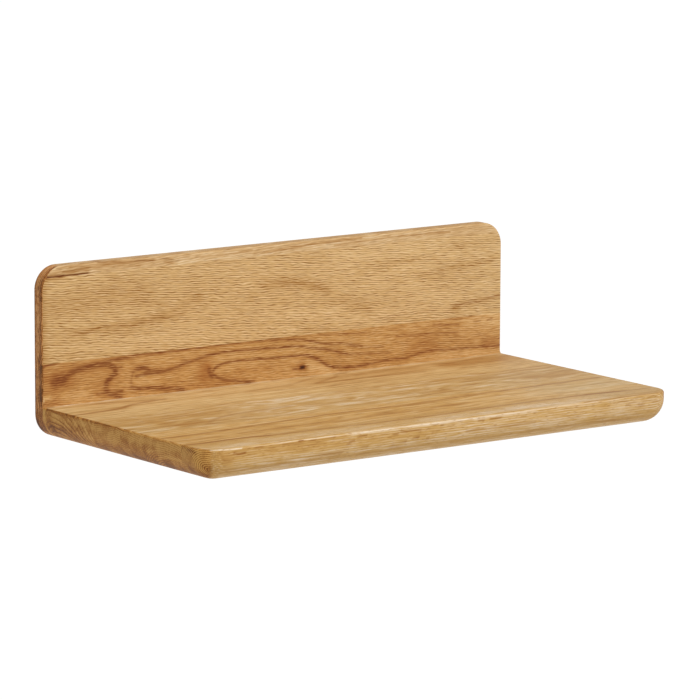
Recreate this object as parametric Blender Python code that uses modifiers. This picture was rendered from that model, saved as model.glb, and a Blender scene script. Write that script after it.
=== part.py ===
"""Wall shelf in solid oak: a thick board fixed to an upright back panel, both glued up from staves.

Units are metres and +Z is up. X runs along the shelf, and +Y points into the wall.
The origin lies on the wall plane, halfway along the shelf, level with the board's top surface.
"""

from math import asin, cos, degrees, pi, radians, sin

import bmesh
import bpy
from mathutils import Matrix

# Overall shape
SHELF_LENGTH = 0.500
SHELF_DEPTH = 0.260                  # from the wall to the board's front edge
PANEL_HEIGHT = 0.150                 # from the board's underside to the panel's top edge
PANEL_THICKNESS = 0.013
BOARD_THICKNESS = 0.028
CORNER_RADIUS = 0.021                # panel corners, board corners in plan, board's lower edges
ARRIS = 0.002                        # soft edge round everything that shows
REAR_ARRIS = 0.001                   # soft edge against the wall

# Staves, from the bottom of the panel up and from the back of the board forwards
PANEL_SEAM_SHARES = (0.437, 0.936)
REAR_STRIP_WIDTH = 0.0055
BOARD_SEAM_SHARES = (0.310, 0.615, 0.855)
GLUE_GAP = 0.0003

# Fasteners between panel and board, in one row along the board's back edge
ROW_END_MARGIN = 0.040               # from the shelf's end to the first fastener
JOINING_SCREW_COUNT = 4              # with a dowel between each two screws
JOINING_SCREW_LENGTH = 0.045
JOINING_SCREW_RADIUS = 0.0020
JOINING_SCREW_HEAD_RADIUS = 0.0039
JOINING_SCREW_PITCH = 0.0020
JOINING_SCREW_SINK = 0.0005
PLAIN_SHANK = 0.018                  # unthreaded length behind the head
DOWEL_RADIUS = 0.0040
DOWEL_LENGTH = 0.030
DOWEL_FLUTES = 12
DOWEL_FLUTE_DEPTH = 0.0003
DOWEL_CHAMFER = 0.0008
WOOD_AHEAD_OF_DOWEL_HOLE = 0.0040    # wood between a dowel and the panel's back face
DOWEL_HOLE_SPARE = 0.0006            # room for glue at each end of a dowel

# Keyhole hangers let into the back of the panel
HANGER_END_MARGIN = 0.080            # from the shelf's end to a hanger's middle
HANGER_SEAM_MARGIN = 0.005           # from the panel's upper seam to the hanger
PLATE_LENGTH = 0.046
PLATE_WIDTH = 0.016
PLATE_THICKNESS = 0.0020
PLATE_SINK = 0.0003
KEYHOLE_RADIUS = 0.00475             # lets in a wall screw's head
KEYHOLE_SLOT_WIDTH = 0.0048          # holds the wall screw's shank
KEYHOLE_DROP = 0.012                 # from the round hole's middle to the slot's upper end
HEAD_POCKET_WIDTH = 0.0125
HEAD_POCKET_MARGIN = 0.0060          # pocket beyond the keyhole's two end centres
WOOD_AHEAD_OF_POCKET = 0.0045        # wood between a pocket and the panel's front face
PLATE_SCREW_MARGIN = 0.0055          # from the plate's end to a screw
PLATE_SCREW_RADIUS = 0.0015
PLATE_SCREW_HEAD_RADIUS = 0.0027
PLATE_SCREW_PITCH = 0.0013
PLATE_SCREW_SINK = 0.0001
WOOD_AHEAD_OF_PLATE_SCREW = 0.0030

# Shapes that every screw shares
HEAD_RIM = 0.0002                    # straight edge of a countersunk head
CORE_SHARE = 0.68                    # thread's root radius to its crest radius
CREST_SHARE = 0.35                   # place of a thread's crest in its pitch
ROOT_SHARE = 0.80                    # place of its root
TIP_SHARE = 2.2                      # length of the point to the crest radius
DRIVE_SHARE = 0.52                   # six-lobed drive's radius to the head's radius
DRIVE_LOBES = 6
DRIVE_LOBE_SHARE = 0.26              # depth between two lobes to the drive's radius
DRIVE_DEPTH_SHARE = 0.42             # depth of the drive to the head's radius

FIT_GAP = 0.0003                     # clearance round everything that fits in a hole
OVERRUN = 0.005                      # how far a cutter reaches past the wood
SAME_POINT = 0.00001                 # points closer than this are one

CORNER_SEGMENTS = 10
ARRIS_SEGMENTS = 3
HOLE_SEGMENTS = 24
SCREW_SEGMENTS = 16
ARC_STEPS = 12

# Levels and faces that follow from the sizes
BOARD_BOTTOM_Z = -BOARD_THICKNESS
PANEL_TOP_Z = BOARD_BOTTOM_Z + PANEL_HEIGHT
PANEL_FRONT_Y = -PANEL_THICKNESS
BOARD_BACK_Y = PANEL_FRONT_Y - GLUE_GAP
BOARD_FRONT_Y = -SHELF_DEPTH
ROW_Z = BOARD_BOTTOM_Z + BOARD_THICKNESS / 2

WOOD_TONES = {
    "panel_top_stave": "#C9A477",
    "panel_middle_stave": "#C8A06A",
    "panel_lower_stave": "#B57D46",
    "board_rear_strip": "#CFAA78",
    "board_second_stave": "#C8A069",
    "board_middle_stave": "#C5A06E",
    "board_fourth_stave": "#BE935D",
    "board_front_stave": "#C29C6A",
}


def clear_scene():
    for obj in list(bpy.data.objects):
        bpy.data.objects.remove(obj, do_unlink=True)


def new_collection(name):
    collection = bpy.data.collections.new(name)
    bpy.context.scene.collection.children.link(collection)
    return collection


def linear(hex_colour):
    """Turn an sRGB hex colour into linear RGBA."""
    channels = [int(hex_colour[i:i + 2], 16) / 255 for i in (1, 3, 5)]
    return [c / 12.92 if c <= 0.04045 else ((c + 0.055) / 1.055) ** 2.4 for c in channels] + [1.0]


def finish(name, hex_colour, roughness, metallic):
    material = bpy.data.materials.new(name)
    material.use_nodes = True
    shader = material.node_tree.nodes["Principled BSDF"]
    shader.inputs["Base Color"].default_value = linear(hex_colour)
    shader.inputs["Roughness"].default_value = roughness
    shader.inputs["Metallic"].default_value = metallic
    return material


def oiled_oak(stave):
    return finish("oiled oak " + stave, WOOD_TONES[stave], 0.5, 0.0)


def planed_beech(dowel):
    return finish("beech " + dowel, "#D2AE84", 0.6, 0.0)


def zinc_plated_steel(piece):
    return finish("zinc-plated steel " + piece, "#B9BDC0", 0.35, 1.0)


def add_piece(name, mesh, material):
    """Put a visible piece of the shelf in its collection, held by the wall frame."""
    obj = bpy.data.objects.new(name, mesh)
    if not mesh.materials:
        mesh.materials.append(material)
    shelf_collection.objects.link(obj)
    obj.parent = wall_frame
    return obj


def add_cutter(name, mesh):
    obj = bpy.data.objects.new(name, mesh)
    obj.hide_render = True
    obj.display_type = "WIRE"
    cutter_collection.objects.link(obj)
    return obj


def combine(target, other, operation):
    modifier = target.modifiers.new(other.name, "BOOLEAN")
    modifier.operation = operation
    modifier.object = other


def smooth(mesh):
    mesh.shade_smooth()
    mesh.set_sharp_from_angle(angle=radians(30))
    return mesh


def mesh_from(bm, name):
    bmesh.ops.recalc_face_normals(bm, faces=bm.faces)
    mesh = bpy.data.meshes.new(name)
    bm.to_mesh(mesh)
    bm.free()
    return smooth(mesh)


def block(low, high):
    """A box between two opposite corners, as a bmesh."""
    bm = bmesh.new()
    bmesh.ops.create_cube(bm, size=1.0)
    centre = [(a + b) / 2 for a, b in zip(low, high)]
    sizes = [b - a for a, b in zip(low, high)]
    placing = Matrix.Translation(centre) @ Matrix.Diagonal((*sizes, 1.0))
    bmesh.ops.transform(bm, matrix=placing, verts=bm.verts)
    return bm


def round_edges(bm, edges, radius, segments):
    bmesh.ops.bevel(bm, geom=edges, offset=radius, segments=segments, profile=0.5, affect="EDGES")


def edges_where(bm, test):
    """Edges whose two ends both pass the test."""
    return [edge for edge in bm.edges if test(edge.verts[0].co) and test(edge.verts[1].co)]


def near(a, b):
    return abs(a - b) < SAME_POINT


def panel_form():
    """Outer shape of the whole back panel: rounded corners, and an arris that stops at the board."""
    half = SHELF_LENGTH / 2
    bm = block((-half, PANEL_FRONT_Y, BOARD_BOTTOM_Z), (half, 0, PANEL_TOP_Z))
    corners = [e for e in bm.edges if not near(e.verts[0].co.y, e.verts[1].co.y)]
    round_edges(bm, corners, CORNER_RADIUS, CORNER_SEGMENTS)
    rear = edges_where(bm, lambda co: near(co.y, 0))
    round_edges(bm, rear, REAR_ARRIS, ARRIS_SEGMENTS)
    bmesh.ops.bisect_plane(bm, geom=bm.verts[:] + bm.edges[:] + bm.faces[:], plane_co=(0, 0, 0),
                           plane_no=(0, 0, 1))
    outline = [e for e in edges_where(bm, lambda co: near(co.y, PANEL_FRONT_Y) and co.z > -SAME_POINT)
               if not (near(e.verts[0].co.z, 0) and near(e.verts[1].co.z, 0))]
    round_edges(bm, outline, ARRIS, ARRIS_SEGMENTS)
    return add_cutter("panel_form", mesh_from(bm, "panel_form"))


def board_form():
    """Outer shape of the whole board: deep rounding below the ends and front, arris round the top."""
    half = SHELF_LENGTH / 2
    bm = block((-half, BOARD_FRONT_Y, BOARD_BOTTOM_Z), (half, BOARD_BACK_Y, 0))

    def rounded(edge):
        a, b = (v.co for v in edge.verts)
        at_back = near(a.y, BOARD_BACK_Y) and near(b.y, BOARD_BACK_Y)
        on_top = near(a.z, 0) and near(b.z, 0)
        return not at_back and not on_top

    round_edges(bm, [e for e in bm.edges if rounded(e)], CORNER_RADIUS, CORNER_SEGMENTS)
    rim = [e for e in edges_where(bm, lambda co: near(co.z, 0))
           if not (near(e.verts[0].co.y, BOARD_BACK_Y) and near(e.verts[1].co.y, BOARD_BACK_Y))]
    round_edges(bm, rim, ARRIS, ARRIS_SEGMENTS)
    return add_cutter("board_form", mesh_from(bm, "board_form"))


def stave(name, low, high, form):
    """One stave: a rough length of oak, trimmed to the outer shape of the glued-up form."""
    obj = add_piece(name, mesh_from(block(low, high), name), oiled_oak(name))
    combine(obj, form, "INTERSECT")
    return obj


def seams_between(start, end, shares):
    """Both ends of a width and the places of the seams in it."""
    return [start] + [start + share * (end - start) for share in shares] + [end]


def panel_staves(form):
    half = SHELF_LENGTH / 2 + OVERRUN
    levels = seams_between(BOARD_BOTTOM_Z, PANEL_TOP_Z, PANEL_SEAM_SHARES)
    bottoms = [levels[0] - OVERRUN] + [z + GLUE_GAP / 2 for z in levels[1:-1]]
    tops = [z - GLUE_GAP / 2 for z in levels[1:-1]] + [levels[-1] + OVERRUN]
    names = ("panel_lower_stave", "panel_middle_stave", "panel_top_stave")
    return [stave(name, (-half, PANEL_FRONT_Y - OVERRUN, low), (half, OVERRUN, high), form)
            for name, low, high in zip(names, bottoms, tops)]


def board_staves(form):
    half = SHELF_LENGTH / 2 + OVERRUN
    strip_front = BOARD_BACK_Y - REAR_STRIP_WIDTH
    lines = [strip_front] + seams_between(BOARD_BACK_Y, BOARD_FRONT_Y, BOARD_SEAM_SHARES)[1:-1]
    backs = [BOARD_BACK_Y + OVERRUN] + [y - GLUE_GAP / 2 for y in lines]
    fronts = [y + GLUE_GAP / 2 for y in lines] + [BOARD_FRONT_Y - OVERRUN]
    names = ("board_rear_strip", "board_second_stave", "board_middle_stave", "board_fourth_stave",
             "board_front_stave")
    return [stave(name, (-half, front, BOARD_BOTTOM_Z - OVERRUN), (half, back, OVERRUN), form)
            for name, front, back in zip(names, fronts, backs)]


def turned(name, profile, segments):
    """Mesh turned round local Z from a profile of (radius, height) points, listed from the top down."""
    mesh = bpy.data.meshes.new(name)
    edges = [(i, i + 1) for i in range(len(profile) - 1)]
    mesh.from_pydata([(radius, 0, height) for radius, height in profile], edges, [])
    lathe = bpy.data.objects.new(name, mesh)
    cutter_collection.objects.link(lathe)
    screw = lathe.modifiers.new("turn", "SCREW")
    screw.steps = segments
    screw.render_steps = segments
    screw.use_merge_vertices = True
    screw.merge_threshold = SAME_POINT
    screw.use_smooth_shade = False
    result = bpy.data.meshes.new_from_object(lathe.evaluated_get(bpy.context.evaluated_depsgraph_get()))
    result.name = name
    bpy.data.objects.remove(lathe, do_unlink=True)
    bpy.data.meshes.remove(mesh)
    return smooth(result)


def ripple(bm, count, depth):
    """Draw an upright prism's sides in towards its axis, count times round, by up to depth."""
    for vert in bm.verts:
        radius = vert.co.xy.length
        if radius > depth:
            angle = vert.co.xy.angle_signed((1, 0))
            inner = radius - depth * (1 - cos(count * angle)) / 2
            vert.co.xy *= inner / radius


def prism(radius, length, segments):
    bm = bmesh.new()
    bmesh.ops.create_cone(bm, cap_ends=True, segments=segments, radius1=radius, radius2=radius, depth=length)
    return bm


def screw_profile(radius, head_radius, length, pitch, plain):
    """Countersunk wood screw: head, plain shank, thread ridges one pitch apart, and point."""
    core = radius * CORE_SHARE
    tip = radius * TIP_SHARE
    cone = head_radius - core
    profile = [(0, 0), (head_radius, 0), (head_radius, -HEAD_RIM), (core, -HEAD_RIM - cone)]
    start = max(plain, HEAD_RIM + cone) + pitch / 2
    ridges = int((length - tip - start) / pitch)
    profile.append((core, -start))
    for i in range(ridges):
        profile.append((radius, -start - (i + CREST_SHARE) * pitch))
        profile.append((core, -start - (i + ROOT_SHARE) * pitch))
    profile.append((core, -(length - tip)))
    profile.append((0, -length))
    return profile


def hole_profile(radius, head_radius, length):
    """Countersunk hole that clears a screw of the same sizes all round."""
    bore = radius + FIT_GAP
    mouth = head_radius + FIT_GAP
    return [(0, OVERRUN), (mouth, OVERRUN), (mouth, -HEAD_RIM), (bore, -HEAD_RIM - (mouth - bore)),
            (bore, -length - FIT_GAP), (0, -length - FIT_GAP)]


def place(obj, x, y, z):
    """Set a part turned round local Z so that its upper end looks at the wall."""
    obj.location = (x, y, z)
    obj.rotation_euler = (-pi / 2, 0, 0)
    return obj


def cutter_at(name, mesh, places):
    """One cutter with a copy of an upright mesh at each place, its upper end towards the wall."""
    bm = bmesh.new()
    for x, y, z in places:
        start = len(bm.verts)
        bm.from_mesh(mesh)
        bm.verts.ensure_lookup_table()
        turn = Matrix.Translation((x, y, z)) @ Matrix.Rotation(-pi / 2, 4, "X")
        bmesh.ops.transform(bm, matrix=turn, verts=bm.verts[start:])
    return add_cutter(name, mesh_from(bm, name))


def screw_mesh(name, radius, head_radius, length, pitch, plain, drive_name):
    """A turned screw with a six-lobed drive sunk in its head."""
    mesh = turned(name, screw_profile(radius, head_radius, length, pitch, plain), SCREW_SEGMENTS)
    drive = prism(head_radius * DRIVE_SHARE, 2 * head_radius * DRIVE_DEPTH_SHARE, 4 * DRIVE_LOBES)
    ripple(drive, DRIVE_LOBES, head_radius * DRIVE_SHARE * DRIVE_LOBE_SHARE)
    cutter = add_cutter(drive_name, mesh_from(drive, drive_name))
    blank = bpy.data.objects.new(name, mesh)
    cutter_collection.objects.link(blank)
    combine(blank, cutter, "DIFFERENCE")
    result = bpy.data.meshes.new_from_object(blank.evaluated_get(bpy.context.evaluated_depsgraph_get()))
    bpy.data.objects.remove(blank, do_unlink=True)
    bpy.data.objects.remove(cutter, do_unlink=True)
    return smooth(result)


def row_places():
    """X places of the screws and of the dowels between them."""
    first = -SHELF_LENGTH / 2 + ROW_END_MARGIN
    step = (SHELF_LENGTH - 2 * ROW_END_MARGIN) / (2 * (JOINING_SCREW_COUNT - 1))
    places = [first + i * step for i in range(2 * JOINING_SCREW_COUNT - 1)]
    return places[0::2], places[1::2]


def joining_screws(places, wood):
    sizes = (JOINING_SCREW_RADIUS, JOINING_SCREW_HEAD_RADIUS, JOINING_SCREW_LENGTH)
    mesh = screw_mesh("joining_screw", *sizes, JOINING_SCREW_PITCH, PLAIN_SHANK, "joining_drive")
    hole = turned("joining_hole", hole_profile(*sizes), HOLE_SEGMENTS)
    steel = zinc_plated_steel("joining screw")
    for i, x in enumerate(places, start=1):
        place(add_piece(f"joining_screw_{i}", mesh, steel), x, -JOINING_SCREW_SINK, ROW_Z)
    holes = cutter_at("joining_holes", hole, [(x, -JOINING_SCREW_SINK, ROW_Z) for x in places])
    for piece in wood:
        combine(piece, holes, "DIFFERENCE")


def dowels(places, wood):
    bm = prism(DOWEL_RADIUS, DOWEL_LENGTH, 2 * DOWEL_FLUTES)
    ripple(bm, DOWEL_FLUTES, DOWEL_FLUTE_DEPTH)
    ends = [e for e in bm.edges if near(e.verts[0].co.z, e.verts[1].co.z)]
    bmesh.ops.bevel(bm, geom=ends, offset=DOWEL_CHAMFER, segments=1, affect="EDGES")
    mesh = mesh_from(bm, "dowel")
    hole_length = DOWEL_LENGTH + 2 * DOWEL_HOLE_SPARE
    hole = mesh_from(prism(DOWEL_RADIUS + FIT_GAP, hole_length, HOLE_SEGMENTS), "dowel_hole")
    hole_back_y = -WOOD_AHEAD_OF_DOWEL_HOLE
    middle_y = hole_back_y - hole_length / 2
    beech = planed_beech("dowel")
    for i, x in enumerate(places, start=1):
        place(add_piece(f"dowel_{i}", mesh, beech), x, middle_y, ROW_Z)
    holes = cutter_at("dowel_holes", hole, [(x, middle_y, ROW_Z) for x in places])
    for piece in wood:
        combine(piece, holes, "DIFFERENCE")


def arc(centre, radius, start, end):
    """Points along an arc, in degrees, anticlockwise from start to end."""
    angles = [radians(start + (end - start) * i / ARC_STEPS) for i in range(ARC_STEPS + 1)]
    return [(centre[0] + radius * cos(a), centre[1] + radius * sin(a)) for a in angles]


def stadium(half_width, half_length):
    """Outline with two round ends, upright, centred on the origin."""
    run = half_length - half_width
    return arc((0, run), half_width, 0, 180) + arc((0, -run), half_width, 180, 360)


def keyhole():
    """Outline of the round hole with its slot going up from it."""
    half_slot = KEYHOLE_SLOT_WIDTH / 2
    lower = (0, -KEYHOLE_DROP / 2)
    upper = (0, KEYHOLE_DROP / 2)
    notch = degrees(asin(half_slot / KEYHOLE_RADIUS))
    return arc(lower, KEYHOLE_RADIUS, 90 + notch, 450 - notch) + arc(upper, half_slot, 0, 180)


def flat_mesh(name, outlines, thickness):
    """Flat plate in local XY with the given outlines, the inner ones being holes."""
    curve = bpy.data.curves.new(name, "CURVE")
    curve.dimensions = "2D"
    curve.fill_mode = "BOTH"
    curve.extrude = thickness / 2
    for points in outlines:
        spline = curve.splines.new("POLY")
        spline.points.add(len(points) - 1)
        spline.use_cyclic_u = True
        for point, (x, y) in zip(spline.points, points):
            point.co = (x, y, 0, 1)
    sheet = bpy.data.objects.new(name, curve)
    cutter_collection.objects.link(sheet)
    flat = bpy.data.meshes.new_from_object(sheet.evaluated_get(bpy.context.evaluated_depsgraph_get()))
    bm = bmesh.new()
    bm.from_mesh(flat)
    bmesh.ops.remove_doubles(bm, verts=bm.verts, dist=SAME_POINT)
    bpy.data.objects.remove(sheet, do_unlink=True)
    bpy.data.curves.remove(curve)
    bpy.data.meshes.remove(flat)
    return mesh_from(bm, name)


def let_in_hangers(places, z, wood):
    """Shallow recess for each plate, and a deeper pocket for the wall screw's head."""
    recess_floor = -PLATE_SINK - PLATE_THICKNESS - FIT_GAP
    pocket_floor = -PANEL_THICKNESS + WOOD_AHEAD_OF_POCKET
    recess = stadium(PLATE_WIDTH / 2 + FIT_GAP, PLATE_LENGTH / 2 + FIT_GAP)
    pocket = stadium(HEAD_POCKET_WIDTH / 2, KEYHOLE_DROP / 2 + HEAD_POCKET_MARGIN)
    for name, outline, floor in (("recesses", recess, recess_floor), ("pockets", pocket, pocket_floor)):
        mesh = flat_mesh(name, [outline], OVERRUN - floor)
        middle_y = (OVERRUN + floor) / 2
        combine(wood, cutter_at(name, mesh, [(x, middle_y, z) for x in places]), "DIFFERENCE")


def keyhole_plate(side, x, z):
    outlines = [stadium(PLATE_WIDTH / 2, PLATE_LENGTH / 2), keyhole()]
    mesh = flat_mesh("keyhole_plate", outlines, PLATE_THICKNESS)
    plate = add_piece(f"keyhole_plate_{side}", mesh, zinc_plated_steel("plate"))
    plate.location = (x, -PLATE_SINK - PLATE_THICKNESS / 2, z)
    plate.rotation_euler = (pi / 2, 0, 0)
    return plate


def hangers(wood):
    """A keyhole plate near each end, let into the panel's middle stave and held by two screws."""
    upper_seam_z = BOARD_BOTTOM_Z + PANEL_SEAM_SHARES[-1] * PANEL_HEIGHT
    z = upper_seam_z - HANGER_SEAM_MARGIN - PLATE_LENGTH / 2
    reach = SHELF_LENGTH / 2 - HANGER_END_MARGIN
    let_in_hangers((-reach, reach), z, wood)

    length = PANEL_THICKNESS - PLATE_SINK - WOOD_AHEAD_OF_PLATE_SCREW
    sizes = (PLATE_SCREW_RADIUS, PLATE_SCREW_HEAD_RADIUS, length)
    mesh = screw_mesh("plate_screw", *sizes, PLATE_SCREW_PITCH, 0, "plate_drive")
    hole = turned("plate_screw_hole", hole_profile(*sizes), SCREW_SEGMENTS)
    steel = zinc_plated_steel("plate screw")
    screw_y = -PLATE_SINK - PLATE_SCREW_SINK
    screw_reach = PLATE_LENGTH / 2 - PLATE_SCREW_MARGIN
    ends = (("upper", z + screw_reach), ("lower", z - screw_reach))
    for side, x in (("left", -reach), ("right", reach)):
        for end, screw_z in ends:
            place(add_piece(f"plate_screw_{side}_{end}", mesh, steel), x, screw_y, screw_z)
        places = [(x, screw_y, screw_z) for end, screw_z in ends]
        holes = cutter_at(f"plate_screw_holes_{side}", hole, places)
        combine(keyhole_plate(side, x, z), holes, "DIFFERENCE")
        combine(wood, holes, "DIFFERENCE")


clear_scene()
shelf_collection = new_collection("wall_shelf")
cutter_collection = new_collection("cutters")
wall_frame = bpy.data.objects.new("wall_frame", None)
shelf_collection.objects.link(wall_frame)

lower_stave, middle_stave, top_stave = panel_staves(panel_form())
rear_strip, second_stave, *front_staves = board_staves(board_form())
screw_places, dowel_places = row_places()
joined_wood = (lower_stave, rear_strip, second_stave)
joining_screws(screw_places, joined_wood)
dowels(dowel_places, joined_wood)
hangers(middle_stave)
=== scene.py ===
"""Looks for an oiled oak wall shelf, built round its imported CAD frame.

Units are metres and +Z is up. X runs along the shelf, +Y points into the wall, and the origin lies on
the wall plane, halfway along the shelf, level with the board's top. Figures of the wood are in millimetres.
"""

from math import pi, radians

import bmesh
import bpy
import numpy as np
from mathutils import Matrix, Vector


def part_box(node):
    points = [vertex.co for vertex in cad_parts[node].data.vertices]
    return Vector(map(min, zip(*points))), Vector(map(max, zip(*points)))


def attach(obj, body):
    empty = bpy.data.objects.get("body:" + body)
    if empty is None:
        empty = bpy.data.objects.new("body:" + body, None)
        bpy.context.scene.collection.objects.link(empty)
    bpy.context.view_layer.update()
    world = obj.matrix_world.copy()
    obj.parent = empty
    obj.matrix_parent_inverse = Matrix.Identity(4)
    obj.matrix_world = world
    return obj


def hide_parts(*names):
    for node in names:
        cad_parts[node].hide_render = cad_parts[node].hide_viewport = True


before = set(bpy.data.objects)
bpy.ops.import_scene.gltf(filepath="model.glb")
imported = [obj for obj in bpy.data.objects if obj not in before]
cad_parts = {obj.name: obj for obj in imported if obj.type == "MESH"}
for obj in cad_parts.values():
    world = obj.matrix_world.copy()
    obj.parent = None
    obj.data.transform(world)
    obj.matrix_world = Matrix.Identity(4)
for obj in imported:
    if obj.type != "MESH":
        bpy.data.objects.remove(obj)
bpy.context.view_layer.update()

MM = 0.001

# Shape of the glued-up boards, as in the CAD
CORNER_RADIUS = 21 * MM  # panel corners, board corners in plan, board's lower edges
ARRIS = 2 * MM  # soft edge round everything that shows
REAR_ARRIS = 1 * MM  # soft edge against the wall
FIT_GAP = 0.3 * MM  # clearance round everything that is let into the wood
HALF_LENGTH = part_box("panel_middle_stave")[1].x
PANEL_THICKNESS = -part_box("panel_middle_stave")[0].y
PANEL_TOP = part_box("panel_top_stave")[1].z
BOARD_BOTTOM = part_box("board_front_stave")[0].z
SHELF_DEPTH = -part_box("board_front_stave")[0].y

# Grid spacing of a stave's surface, fine enough for the figure that its points carry
STEP_ALONG = 2 * MM
STEP_ACROSS = 1.2 * MM
FINE_STEPS = {"panel_lower_stave": (1.25 * MM, 0.8 * MM),  # staves whose drawn figure has fine lines
              "panel_top_stave": (1.25 * MM, 0.7 * MM)}
ROUND_STEPS = 14  # rows of points round a quarter of the deep rounding
ARRIS_STEPS = 4
HOLE_STEPS = 32  # points round a hole
WELD = 1e-6  # points closer than this are one


# ---- Camera, at the photograph's viewing angle

CAMERA_PLACE = (-2.47584, -3.48778, 0.74216)
CAMERA_AZIMUTH = radians(-36.312)
CAMERA_ELEVATION = radians(9.520)
CAMERA_ROLL = radians(0.2125)
CAMERA_LENS = 250.07  # mm, on a 36 mm wide sensor
CAMERA_REACH = 100


def add_camera():
    camera = bpy.data.objects.new("camera", bpy.data.cameras.new("camera"))
    camera.data.lens = CAMERA_LENS
    camera.data.clip_end = CAMERA_REACH
    camera.matrix_world = Matrix.Translation(CAMERA_PLACE)
    for angle, axis in ((CAMERA_AZIMUTH, "Z"), (pi / 2 - CAMERA_ELEVATION, "X"), (CAMERA_ROLL, "Z")):
        camera.matrix_world = camera.matrix_world @ Matrix.Rotation(angle, 4, axis)
    bpy.context.scene.collection.objects.link(camera)
    bpy.context.scene.camera = camera


add_camera()


# ---- Small tools

def linear(hex_colour):
    """An sRGB hex colour as linear RGBA."""
    channels = np.array([int(hex_colour[i:i + 2], 16) / 255 for i in (1, 3, 5)])
    low, high = channels / 12.92, ((channels + 0.055) / 1.055) ** 2.4
    return (*np.where(channels <= 0.04045, low, high), 1.0)


def fill(tree, node, sockets):
    """Gives inputs of a node, by name or number, a value or the output that feeds it."""
    for name, value in sockets.items():
        if isinstance(value, bpy.types.NodeSocket):
            tree.links.new(value, node.inputs[name])
        else:
            node.inputs[name].default_value = value


def add(tree, kind, sockets=None, **settings):
    """Adds one shader node with its settings and inputs, and returns its first output."""
    node = tree.nodes.new("ShaderNode" + kind)
    for name, value in settings.items():
        setattr(node, name, value)
    fill(tree, node, sockets or {})
    return node.outputs[0] if node.outputs else node


def new_material(name):
    """A material of one Principled shader; returns it, its tree and the shader."""
    material = bpy.data.materials.new(name)
    material.use_nodes = True
    return material, material.node_tree, material.node_tree.nodes["Principled BSDF"]


def object_from(name, points, faces):
    """A closed mesh object at the origin from points and quads; merged points close its seams and poles."""
    mesh = bpy.data.meshes.new(name)
    used, faces = np.unique(faces, return_inverse=True)
    mesh.from_pydata(points.reshape(-1, 3)[used], [], faces.reshape(-1, 4))
    bm = bmesh.new()
    bm.from_mesh(mesh)
    bmesh.ops.remove_doubles(bm, verts=bm.verts, dist=WELD)
    bmesh.ops.recalc_face_normals(bm, faces=bm.faces)
    bm.to_mesh(mesh)
    bm.free()
    obj = bpy.data.objects.new(name, mesh)
    bpy.context.scene.collection.objects.link(obj)
    return obj


def quads(grid):
    """The quads between neighbours of a grid of point numbers."""
    return np.stack([grid[:-1, :-1], grid[1:, :-1], grid[1:, 1:], grid[:-1, 1:]], axis=-1).reshape(-1, 4)


# ---- Shape of the staves

def even_steps(start, end, spacing):
    """Places from start to end, at most one spacing apart."""
    return np.linspace(start, end, int(np.ceil(abs(end - start) / spacing)) + 1)


def edge_rows(thickness, low_radius, high_radius, low_steps, high_steps):
    """Rows of points through a board's thickness, as place and inset from the outline.
    The low edge opens as place = r (1 - cos a), inset = r (1 - sin a) for a from 0 to 90 degrees,
    and the high edge closes as place = T - r (1 - sin b), inset = r (1 - cos b)."""
    a = np.linspace(0, pi / 2, low_steps + 1)
    b = np.linspace(0, pi / 2, high_steps + 1)
    flat = even_steps(low_radius, thickness - high_radius, STEP_ACROSS)[1:-1]
    place = np.concatenate([low_radius * (1 - np.cos(a)), flat, thickness - high_radius * (1 - np.sin(b))])
    inset = np.concatenate([low_radius * (1 - np.sin(a)), 0 * flat, high_radius * (1 - np.cos(b))])
    return place, inset


def outline_rows(start, end, low_centre, high_centre, inset, spacing):
    """Rows of points across a face with round corners, as place and half length for each inset.
    Between the corner centres half length = H - inset. Past a centre c the outline is its arc:
    place = c +- (R - inset) sin a, half length = H - R + (R - inset) cos a, where a runs between the
    angles at which the arc meets the stave's two edges."""
    reach = np.maximum(CORNER_RADIUS - inset, WELD * MM)[:, None]
    places, halves = [], []

    def add_arc(centre, sign):
        first, last = (np.arcsin(np.clip(sign * (edge - centre) / reach, 0, 1)) for edge in (start, end))
        angle = first + (last - first) * np.linspace(0, 1, ROUND_STEPS + 1)
        places.append(centre + sign * reach * np.sin(angle))
        halves.append(HALF_LENGTH - CORNER_RADIUS + reach * np.cos(angle))

    if start < low_centre:
        add_arc(low_centre, -1)
    if start < high_centre:
        straight = even_steps(max(start, low_centre), min(end, high_centre), spacing)
        places.append(np.repeat(straight[None], len(inset), axis=0))
        halves.append(np.repeat(HALF_LENGTH - inset[:, None], len(straight), axis=1))
    if end > high_centre:
        add_arc(high_centre, 1)
    return np.concatenate(places, axis=1), np.concatenate(halves, axis=1)


def block(spacing, half, across, through):
    """Skin of a block of points: each is a function of its share of the half length along the stave, its row
    across it and its row through it, and the block's six outer faces are grids of quads."""
    share = even_steps(-1, 1, spacing / HALF_LENGTH)[:, None, None]
    points = np.stack(np.broadcast_arrays(share * half.T, across, through), axis=-1)
    number = np.arange(points[..., 0].size).reshape(points.shape[:3])
    sides = [side for axis in range(3) for side in (number.take(0, axis), number.take(-1, axis))]
    return points, np.concatenate([quads(side) for side in sides])


def panel_stave(name, low, high, along=STEP_ALONG, across=STEP_ACROSS):
    """A stave of the back panel between two heights: rows run up it, and its corners are the panel's.
    The front arris fades out over its own width just above the board, where the panel's end meets it."""
    depth, inset = edge_rows(PANEL_THICKNESS, ARRIS, REAR_ARRIS, ARRIS_STEPS, ARRIS_STEPS)
    front = depth < PANEL_THICKNESS / 2
    below = low < 0
    height, half = outline_rows(low, high, BOARD_BOTTOM + CORNER_RADIUS, PANEL_TOP - CORNER_RADIUS,
                                np.where(front & below, 0, inset), across)
    if below:
        half = half - np.where(front, inset, 0)[:, None] * np.clip(height / ARRIS, 0, 1)
    points, faces = block(along, half, height.T, depth - PANEL_THICKNESS)
    return object_from(name, points[..., [0, 2, 1]], faces)


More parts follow.
